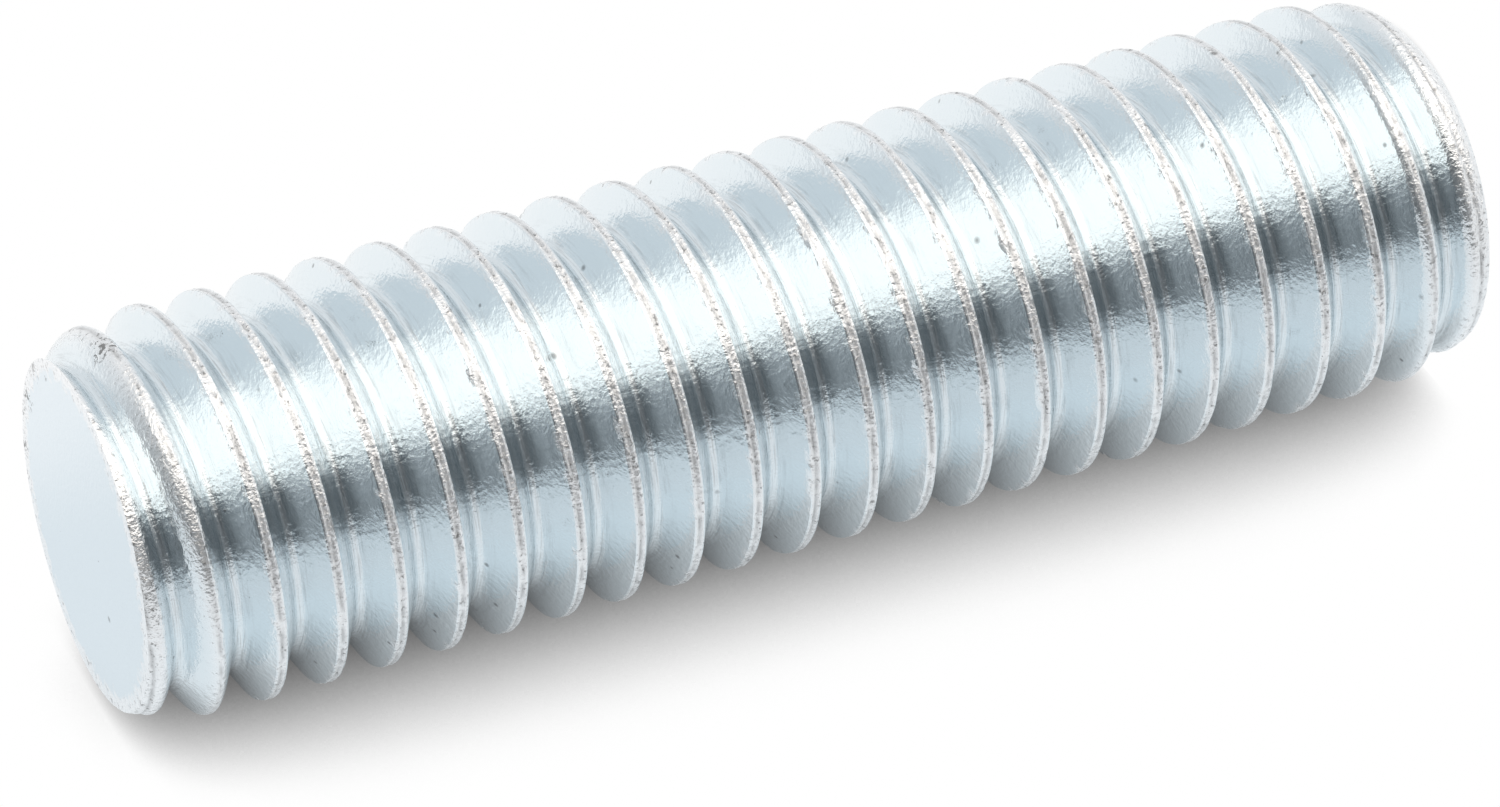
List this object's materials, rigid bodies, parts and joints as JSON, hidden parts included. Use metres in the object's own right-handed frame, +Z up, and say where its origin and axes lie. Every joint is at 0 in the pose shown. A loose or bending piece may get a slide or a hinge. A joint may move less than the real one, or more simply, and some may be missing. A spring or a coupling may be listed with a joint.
{
  "type": "threaded rod",
  "caption": "Short length of fully threaded metric rod in zinc-plated steel, with a right-hand coarse thread and flat, chamfered end faces.",
  "frame": {"origin": "centre of the bottom end face, on the rod's axis", "axes": "+Z up along the rod's axis, from the bottom end face to the top end face; a crest leaves the bottom face 168 degrees round from +X"},
  "size_m": [0.0098, 0.0098, 0.0348],
  "materials": {
    "zinc_plated_steel": "bright zinc plating with a faint blue passivate over rolled steel"
  },
  "bodies": {
    "root": {"threaded_rod": "zinc_plated_steel"}
  },
  "joints": []
}
